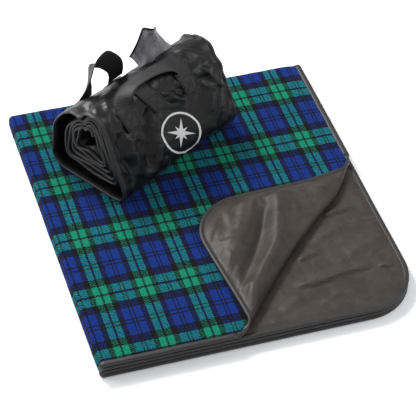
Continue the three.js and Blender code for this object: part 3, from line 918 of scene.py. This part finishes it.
def case_swell(t, share):
    """How far the case's cloth stands out from its plain section, in mm."""
    back, up = section(share)[0].T
    front = smooth(-back, -10, 30) * smooth(up, 2, 30)
    rear = smooth(back, 20, 60) * smooth(up, 2, 30)
    crown = smooth(up, 120, 165)
    big = 12 * smooth(t, 10, 130) * front * (1 - 0.6 * crown)
    big = big + 4 * np.sin(np.clip(up / 150, 0, 1) * math.pi) * front
    big = big + 8 * (1 - smooth(t, -160, -70)) * rear
    big = big - 7 * smooth(t, 60, 138) * rear * smooth(up, 80, 130)
    big = big + 5 * rough(t, share * PERIMETER, 75, 3.1) * smooth(up, 4, 30)
    folds = 1.35 * sum(crease(t, up, *fold_line) for fold_line in FRONT_FOLDS) * smooth(-back, -2, 26)
    notch = -11 * np.exp(-(((share - NOTCH) / 0.022) ** 2)) * (1 - smooth(t, ROLL_LEFT, ROLL_LEFT + 70))
    s = share * PERIMETER
    crossed = 2.6 * ridged(t * 0.8 + s * 0.6, s * 0.8 - t * 0.6, 120, 30, 8.8)
    crossed = crossed + 2.2 * ridged(t * 0.5 - s * 0.87, s * 0.5 + t * 0.87, 90, 22, 2.9)
    crossed = crossed + 0.8 * ridged(t * 0.9 + s * 0.4, s * 0.9 - t * 0.4, 40, 10, 5.2)
    calm = 1 - 0.75 * smooth(t, -40, 0) * (1 - smooth(t, 70, 110)) * front * (1 - smooth(up, 80, 110))
    seam = smooth(t, ROLL_LEFT, ROLL_LEFT + 18) * 0.7 + 0.3
    return np.maximum((big + notch + (folds + crossed * calm) * seam) * smooth(up, 0.5, 14), -8) + 0.4

# %% The case's wrap
def on_case(t, share, out=0.0):
    """A place on the case's cloth, this far out from it."""
    point, normal = section(share)
    beyond = np.clip((t - ROLL_RIGHT) / END_DOME, 0, 1)
    swell = case_swell(np.minimum(t, ROLL_RIGHT), share)
    edge = point + normal * (swell + out)[:, None]
    gathers = 1 + 0.05 * np.sin(share * 2 * math.pi * 17) * np.sin(beyond * math.pi)
    scale = np.cos(beyond * math.pi / 2 * 0.96) * gathers
    edge = (END_BACK, END_UP) + (edge - (END_BACK, END_UP)) * scale[:, None]
    along = np.minimum(t, ROLL_RIGHT) + END_REACH * np.sin(beyond * math.pi / 2)
    return from_roll(along, edge[:, 0], edge[:, 1])


case_columns = lines((ROLL_LEFT, ROLL_RIGHT, 120), (ROLL_RIGHT, ROLL_RIGHT + END_DOME, 12))
cloth = flat_grid(case_columns, np.linspace(0, 1, 241))
lay(cloth, lambda flat: on_case(flat[:, 0], flat[:, 1]), lambda flat: flat[:, :2] * (MM, PERIMETER * MM))
bmesh.ops.remove_doubles(cloth, verts=cloth.verts[:], dist=2e-5)
gathered_to = Vector(from_roll(ROLL_RIGHT + END_REACH, END_BACK, END_UP) * MM)
bmesh.ops.holes_fill(cloth, edges=[
    e for e in cloth.edges if e.is_boundary and min((v.co - gathered_to).length for v in e.verts) < 0.02])
bmesh.ops.recalc_face_normals(cloth, faces=cloth.faces[:])
case_shell = thicken(make_piece(cloth, "case_wrap", case_cloth), CASE_THICK)

# %% [markdown]
# The open left end is edged with the same tape as the blanket, folded over the cloth and sewn, and a
# second run of it marks the seam round the closed right end. Both are tubes with a flattened section,
# carried round a path. The same helper makes the spiral edge of the blanket rolled up inside.

# %% Tubes and ribbons round the roll
def tube_round(name, centres, wide, deep, wide_by, deep_by, material, around=10, ends=False):
    """A flattened tube along centres: wide and deep are its two directions at each, with their halves."""
    length = run_length(centres)

    def section_place(flat):
        row, angle = row_of(flat), flat[:, :1] / around * 2 * math.pi
        return centres[row] + wide[row] * wide_by * np.cos(angle) + deep[row] * deep_by * np.sin(angle)

    def section_spread(flat):
        return np.stack([flat[:, 0] / around * 4 * wide_by, length[row_of(flat)]], 1) * MM

    tube = flat_grid(np.arange(around + 1.0), np.arange(float(len(centres))))
    lay(tube, section_place, section_spread)
    close_tube(tube, 1e-5, ends)
    return make_piece(tube, name, material)


ring = np.linspace(0, 1, 181)
ring_out = outward_at(ring)
along_roll = (from_roll(1.0, 0.0, 0.0) - from_roll(0.0, 0.0, 0.0))[None, :]
ring_along = np.repeat(along_roll, len(ring), axis=0)
mouth_line = on_case(ring * 0 + ROLL_LEFT + 2, ring, -1.0)
seam_line = on_case(ring * 0 + ROLL_RIGHT + 1.0, ring, 0.2)
case_mouth_tape = tube_round("case_mouth_tape", mouth_line, ring_along, ring_out, 6.5, 2.4, binding_tape)
case_end_seam = tube_round("case_end_seam", seam_line, ring_along, ring_out, 3.2, 2.0, binding_tape)

# %% [markdown]
# ## The rolled blanket
# Inside the open end the folded blanket winds in on itself, its lining outwards, and each turn ends in
# the rounded edge of its binding. The winding is pulled up towards the top, as the stack sags below, so
# the turns lie close together along the bottom and leave a dark hollow above.

# %% The rolled blanket
CORE = np.array([12.0, 104.0])  # where the winding ends: back, up
TURNS, PITCH = 5.2, 8.6  # how often it goes round, and how far in each turn lies
START = 0.52  # the share of the way round where it starts
FIRST_INSET, MEAN_REACH = 11.0, 84.0
MOUTH_DEPTH = 11  # how far its end lies inside the case


def on_spiral(t, turns, inset):
    """A place on the winding, turns in from the case's seam and inset into it."""
    round_once = (turns % 1.0) * 2 * math.pi
    waves = 3.4 * rough(turns * 300, t, 38, 6.6)
    waves = waves + 2.2 * np.sin(3 * round_once + turns * 2.1) * np.clip(turns, 0, 1)
    dent = (22 - 2 * turns) * np.exp(-((((START + turns) % 1.0 - NOTCH) / 0.03) ** 2))
    shrink = 1 - (FIRST_INSET + PITCH * turns + inset + waves + dent) / MEAN_REACH
    edge = CORE + (section(START + turns)[0] - CORE) * shrink[:, None]
    return from_roll(t, edge[:, 0], edge[:, 1])


turns = np.linspace(0, TURNS, round(TURNS * 84))


def winding(name, inset, thickness, material):
    cloth = flat_grid(lines((ROLL_LEFT + MOUTH_DEPTH, ROLL_RIGHT - 8, 8)), turns)
    lay(cloth, lambda flat: on_spiral(flat[:, 0], flat[:, 1], inset),
        lambda flat: flat[:, :2] * (MM, 0.7 * PERIMETER * MM))  # a turn is some 0.7 of the case's
    return thicken(make_piece(cloth, name, material), thickness)


rolled_lining = winding("rolled_lining", 4.4, 1.2, case_cloth)
rolled_fleece = winding("rolled_fleece_face", 0.6, BENT_FLEECE_THICK, fleece)
spiral_edge = on_spiral(turns * 0 + ROLL_LEFT + MOUTH_DEPTH - 1, turns, 2.6)
rolled_tape = tube_round("rolled_binding_tape", spiral_edge, outward_at(START + turns),
                         np.repeat(along_roll, len(turns), axis=0), 3.3, 5.5, binding_tape, ends=True)

# %% [markdown]
# ## Webbing straps and handles
# The straps are 38 mm polypropylene webbing, a heavy flat weave with a rib every 2 mm, sewn to the case
# with a box of thread at each foot. They are stiffer than the case's nylon, so they bridge its crumples
# and only follow its large shape. The handles are the same webbing as free loops, which twist.

# %% Straps
# its ribs are 2 mm apart and are drawn 4.5 mm apart
webbing = ribbed_tape("polypropylene_webbing", "#080707", "#262322", 70.0, 0.6)
WEB = 38.0  # its width
WEBBING_THICK = 1.8
STRAP_FACE = 2.6  # how far its outer face stands off the case's cloth
STRAP_ROWS = 30


def strap_lift(middle, share):
    """The case's highest swell under the strap, eased along its length."""
    swell = np.max([case_swell(middle + k, share) for k in (-19, -10, 0, 10, 19)], axis=0)
    return np.convolve(np.pad(swell, 4, mode="edge"), np.ones(9) / 9, mode="valid")


def strap(name, foot, head, foot_t, head_t):
    """Webbing on the case from its foot to its head, both as shares round and places along the roll."""
    shares = np.linspace(foot, head, STRAP_ROWS)
    middles = np.linspace(foot_t, head_t, STRAP_ROWS)
    lift = strap_lift(middles, shares)
    step = abs(head - foot) * PERIMETER / (STRAP_ROWS - 1)

    def place(flat):
        row = row_of(flat)
        out = lift[row] + STRAP_FACE - 0.6 * (flat[:, 0] / WEB * 2) ** 2
        return beside_case(middles[row] + flat[:, 0], shares[row], out)

    cloth = flat_grid(np.linspace(-WEB / 2, WEB / 2, 7), np.arange(float(STRAP_ROWS)))
    lay(cloth, place, lambda flat: flat[:, :2] * (MM, step * MM))
    bmesh.ops.recalc_face_normals(cloth, faces=cloth.faces[:])
    cloth.faces.ensure_lookup_table()
    facing = Vector(outward_at(shares[STRAP_ROWS // 2:][:1])[0])
    if cloth.faces[len(cloth.faces) // 2].normal.dot(facing) < 0:
        bmesh.ops.reverse_faces(cloth, faces=cloth.faces[:])
    return thicken(make_piece(cloth, name, webbing), WEBBING_THICK), (shares, middles, lift)


STRAPS = {  # name: foot and head, as heights on the front or the back, and places along the roll
    "strap_front_left": (round_at(118, True), round_at(158, True), -93, -103),
    "strap_front_middle": (round_at(118, True), round_at(166, False), -18, -58),
    "strap_front_right": (round_at(112, True), round_at(156, True), 61, 52),
    "strap_rear_left": (round_at(52, False), round_at(119, False), -106, -98),
    "strap_rear_right": (round_at(52, False), round_at(119, False), -24, -20),
}
straps, strap_lines = [], {}
for node, where in STRAPS.items():
    piece, strap_lines[node] = strap(node + "_webbing", *where)
    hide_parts(node)
    straps.append(piece)

# %% [markdown]
# A handle is a ribbon: a smooth path of its middle, and a direction across it at each point, which
# turns where the webbing twists. The paths are given in the plane that each handle swings in, as places
# along the roll, heights above the hinge line, and how far the webbing is turned out of that plane.

# %% Handles
def smooth_path(points, count):
    """A Catmull-Rom curve through rows of numbers, evenly sampled by row."""
    rows = np.array([points[0], *points, points[-1]], float)
    spans = len(points) - 1
    out = []
    for k in range(count):
        at = min(k / (count - 1) * spans, spans - 1e-6)
        i, t = int(at), at - int(at)
        a, b, c, d = rows[i:i + 4]
        square, cube = 2 * a - 5 * b + 4 * c - d, 3 * b - a - 3 * c + d
        out.append(0.5 * (2 * b + (c - a) * t + square * t * t + cube * t ** 3))
    return np.array(out)


HANDLE_ROWS = 72


def handle(name, hinge, lean, points):
    """points: (along the roll, height above the hinge, out of the plane, twist in degrees)."""
    t, height, out, twist = smooth_path(points, HANDLE_ROWS).T
    lean = math.radians(lean)
    centres = from_roll(t, hinge[0] + math.sin(lean) * height + math.cos(lean) * out,
                        hinge[1] + math.cos(lean) * height - math.sin(lean) * out)
    ahead = np.gradient(centres, axis=0)
    ahead /= np.linalg.norm(ahead, axis=1)[:, None]
    out_of_plane = roll_direction(math.cos(lean), -math.sin(lean))
    twist = np.radians(twist)[:, None]
    across = np.cross(ahead, out_of_plane) * np.cos(twist) + out_of_plane * np.sin(twist)
    across /= np.linalg.norm(across, axis=1)[:, None]
    length = run_length(centres)

    def place(flat):
        return centres[row_of(flat)] + across[row_of(flat)] * (flat[:, :1] * WEB / 2)

    def spread(flat):
        return np.stack([flat[:, 0] * WEB / 2, length[row_of(flat)]], 1) * MM

    ribbon = flat_grid(np.linspace(-1, 1, 7), np.arange(float(HANDLE_ROWS)))
    lay(ribbon, place, spread)
    return thicken(make_piece(ribbon, name, webbing), WEBBING_THICK, offset=0)

# %% The two handles
REAR_HINGE, REAR_LEAN = (73, 119), -12  # back and up in mm, and degrees from upright
FRONT_HINGE, FRONT_LEAN = (-36, 157), 33
rear_handle = handle("rear_handle_webbing", REAR_HINGE, REAR_LEAN, [
    (-96, 0, 0, 0), (-96, 22, 0, -12), (-97, 48, 0, -34), (-98, 70, 0, -46), (-96, 88, -2, -40),
    (-84, 99, -2, -12), (-66, 92, 0, 0), (-44, 70, 0, 0), (-24, 44, 0, 0), (-14, 20, 0, 0), (-12, 0, 0, 0)])
front_handle = handle("front_handle_webbing", FRONT_HINGE, FRONT_LEAN, [
    (-100, 0, 0, 0), (-99, 14, 0, 30), (-92, 27, 0, 62), (-74, 36, 0, 76), (-50, 37, 0, 78),
    (-20, 35, 0, 76), (12, 30, 0, 66), (34, 24, 0, 44), (50, 14, 0, 12), (54, 0, 0, 0)])
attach(rear_handle, "rear_handle")
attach(front_handle, "front_handle")

# %% [markdown]
# A handle that swings down meets the case. Each handle here is only given a mesh of its own.

# %% Each handle's own mesh
def lie_flat(piece, lean):
    """Gives a handle a mesh of its own; lean is not used."""
    lean = math.radians(lean)
    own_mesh(piece)


lie_flat(rear_handle, REAR_LEAN)
lie_flat(front_handle, FRONT_LEAN)
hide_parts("rear_handle")
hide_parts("front_handle")

# %% [markdown]
# ## The closure flap
# The end of the wrap stands up behind the roll as a crumpled flap of nylon with a hemmed edge. It is a
# grid stretched from the flap's root to its outline, folded along a line between its two faces, and
# crumpled.

# %% Closure flap
FLAP_TOP = [(3, 30), (27, 91), (60, 76), (84, 46), (92, 14)]  # along the roll, height above its hinge
FLAP_LEAN = math.radians(-10)
FLAP_THICK = 1.0


def flap_height(t):
    return np.interp(t, *zip(*FLAP_TOP))


def flap_place(t, share):
    """From the flap's root on the top of the case, share 0, to its free edge, share 1."""
    root_back, root_up = 22 - 8 * smooth(t, 40, 92), 163.0
    edge_back = 52 + math.sin(FLAP_LEAN) * flap_height(t)
    edge_up = 143 + math.cos(FLAP_LEAN) * flap_height(t)
    bend = 4 * share * (1 - share)
    facet = -9 * np.exp(-((t - 62 + 14 * share) / 11) ** 2) + 12 * smooth(t, 62, 92)
    rise = share * 80
    crumple = 3.2 * ridged(t * 0.8 + rise * 0.6, rise * 0.8 - t * 0.6, 90, 28, 3.7)
    crumple = crumple + 2.4 * ridged(t * 0.45 - rise * 0.9, rise * 0.45 + t * 0.9, 70, 20, 8.1)
    out = (facet * (0.25 + 0.75 * share) + crumple + 5 * bend) * smooth(share, 0, 0.2)
    back = root_back + (edge_back - root_back) * share + out
    up = root_up + (edge_up - root_up) * share + 5 * bend
    return from_roll(t, back, up)


cloth = flat_grid(np.linspace(3, 92, 60), np.linspace(0, 1, 50))
lay(cloth, lambda flat: flap_place(flat[:, 0], flat[:, 1]),
    lambda flat: np.stack([flat[:, 0], flat[:, 1] * flap_height(flat[:, 0])], 1) * MM)
closure_flap = thicken(make_piece(cloth, "closure_flap_cloth", flap_painted_light_nylon), FLAP_THICK)

hem_t = np.linspace(3.5, 91.5, 70)
hem_line = flap_place(hem_t, hem_t * 0 + 0.985)
hem_up = np.gradient(hem_line, axis=0)
hem_up /= np.linalg.norm(hem_up, axis=1)[:, None]
hem_out = np.repeat(roll_direction(1.0, 0.0)[None, :], len(hem_t), axis=0)
closure_hem = tube_round("closure_flap_hem_roll", hem_line, np.cross(hem_up, hem_out), hem_out, 2.6, 1.3,
                         case_cloth, ends=True)
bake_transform(closure_flap)
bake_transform(closure_hem)
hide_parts("closure_flap")
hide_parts("closure_flap_hem")

# %% [markdown]
# ## Stitching and the printed emblem
# Each strap's foot is held by a box of black thread with a cross in it. The emblem is a light print on
# the case: a plain ring with a simple compass star, lying on the crumpled cloth.

# %% Thread
thread, tree, shader = new_material("bonded_polyester_thread")
place = add(tree, "ShaderNodeTexCoord").outputs["Object"]
ply_noise = add(tree, "ShaderNodeTexNoise", [("Scale", 900.0)], Vector=place)
ply_tone = two_tones(tree, ply_noise.outputs["Fac"], "#141211", "#262321")
tree.links.new(ply_tone, shader.inputs["Base Color"])
shader.inputs["Roughness"].default_value = 0.55
print("material:", thread.name)

# %% Boxes of thread
BOX = WEB - 8  # side of the box of thread
BOX_FOOT = 4  # how far above the strap's foot it starts
STITCH, THREAD = 4, 0.55  # length of a stitch, and radius of the thread


def thread_spot(line, a, b):
    """A place on a strap's face: a from -1 to 1 across its box of thread, and b from 0 to 1 up it."""
    shares, middles, lift = line
    step = math.copysign(BOX / PERIMETER, shares[-1] - shares[0])
    share = shares[0] + step * (b + BOX_FOOT / BOX)
    gone, so_far = abs(share - shares[0]), np.abs(shares - shares[0])
    middle, swell = np.interp(gone, so_far, middles), np.interp(gone, so_far, lift)
    out = np.array([swell + STRAP_FACE + 0.6 - 0.6 * (a * BOX / WEB) ** 2])
    return Vector(beside_case(np.array([middle + a * BOX / 2]), np.array([share]), out)[0]) * MM


def stitch(mesh, start, end):
    """One stitch, a long bead of thread between two places."""
    turn = (end - start).to_track_quat("Z", "Y").to_matrix().to_4x4()
    shape = Matrix.Diagonal((THREAD * MM, THREAD * MM, (end - start).length / 2, 1))
    bmesh.ops.create_uvsphere(mesh, u_segments=6, v_segments=4, radius=1,
                              matrix=Matrix.Translation((start + end) / 2) @ turn @ shape)


BOX_PATH = [(-1, 0), (1, 0), (1, 1), (-1, 1), (-1, 0), (1, 1), (1, 0), (-1, 1)]
stitch_mesh = bmesh.new()
for line in strap_lines.values():
    for (a0, b0), (a1, b1) in zip(BOX_PATH, BOX_PATH[1:]):
        gaps = max(2, round(math.hypot((a1 - a0) * BOX / 2, (b1 - b0) * BOX) / STITCH))
        for k in range(gaps):
            parts = ((k + 0.15) / gaps, (k + 0.85) / gaps)
            stitch(stitch_mesh, *(thread_spot(line, a0 + (a1 - a0) * part, b0 + (b1 - b0) * part)
                                  for part in parts))
strap_stitches = make_piece(stitch_mesh, "strap_stitches", thread)
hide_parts(*[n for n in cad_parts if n.endswith("_stitching")])

# %% [markdown]
# The emblem starts as a flat ring and star of radius one, made from circles, and is cut fine enough to
# follow the crumples before it is laid on the case. It is ink, so it has no thickness of its own and
# stands only a little off the cloth. The star is a plain one that stands for no maker.

# %% Emblem
EMBLEM_T, EMBLEM_UP = 7.0, 57.0
EMBLEM_RIGHT, EMBLEM_TOP = (44.0, -24.0), (15.0, 34.0)  # to its 3 o'clock and 12 o'clock: along, up
front_heights = np.linspace(2, 140, 200)
front_shares = np.array([round_at(h, True) for h in front_heights])


def emblem_place(flat):
    t = EMBLEM_T + flat[:, 0] * EMBLEM_RIGHT[0] + flat[:, 1] * EMBLEM_TOP[0]
    up = EMBLEM_UP + flat[:, 0] * EMBLEM_RIGHT[1] + flat[:, 1] * EMBLEM_TOP[1]
    return on_case(t, np.interp(up, front_heights, front_shares), 0.7)


print_ink, tree, shader = new_material("screen_print_ink")
place = add(tree, "ShaderNodeTexCoord").outputs["Object"]
crackle = add(tree, "ShaderNodeTexNoise", [("Scale", 160.0), ("Detail", 4.0)], Vector=place)
ink_tone = two_tones(tree, crackle.outputs["Fac"], "#cfcdca", "#f2f1ee", 0.2)
tree.links.new(ink_tone, shader.inputs["Base Color"])
shader.inputs["Roughness"].default_value = 0.6
print("material:", print_ink.name)

# %% The emblem's ring and star
emblem_mesh = bmesh.new()
for radius in (1.0, 0.9):
    bmesh.ops.create_circle(emblem_mesh, segments=96, radius=radius)
bmesh.ops.bridge_loops(emblem_mesh, edges=emblem_mesh.edges[:])
for first, reach, waist in ((0, 0.72, 0.15), (math.pi / 4, 0.42, 0.13)):
    star = bmesh.ops.create_circle(emblem_mesh, segments=8, radius=1.0)["verts"]
    for k, v in enumerate(star):
        angle, size = first + k * math.pi / 4, (reach, waist)[k % 2]
        v.co = (size * math.cos(angle), size * math.sin(angle), 0)
    bmesh.ops.contextual_create(emblem_mesh, geom=list({e for v in star for e in v.link_edges}))
bmesh.ops.triangulate(emblem_mesh, faces=[f for f in emblem_mesh.faces if len(f.verts) > 4])
for _ in range(4):
    long_edges = [e for e in emblem_mesh.edges if e.calc_length() > 0.06]
    bmesh.ops.subdivide_edges(emblem_mesh, edges=long_edges, cuts=1)
lay(emblem_mesh, emblem_place)
emblem = make_piece(emblem_mesh, "case_emblem", print_ink)
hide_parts("printed_emblem")

# %% [markdown]
# The roll's pieces all ride on it, apart from its two handles and its flap. The case is one wrap, cut as
# long as the section is round and gathered over the roll; the blanket inside is the folded pile wound
# up, of which only the outer ply can be seen, so its sheets are as long as the spiral.

# %% What the roll's pieces stand for
for piece in (case_shell, case_mouth_tape, case_end_seam, rolled_lining, rolled_fleece, rolled_tape,
              strap_stitches, emblem, *straps):
    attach(piece, "carry_roll")
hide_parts("case_back_panel", "case_front_panel", "case_end_panel")
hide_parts("case_left_binding")
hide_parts("case_right_binding")
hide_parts("rolled_backing")
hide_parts("rolled_fleece")
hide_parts("rolled_binding")
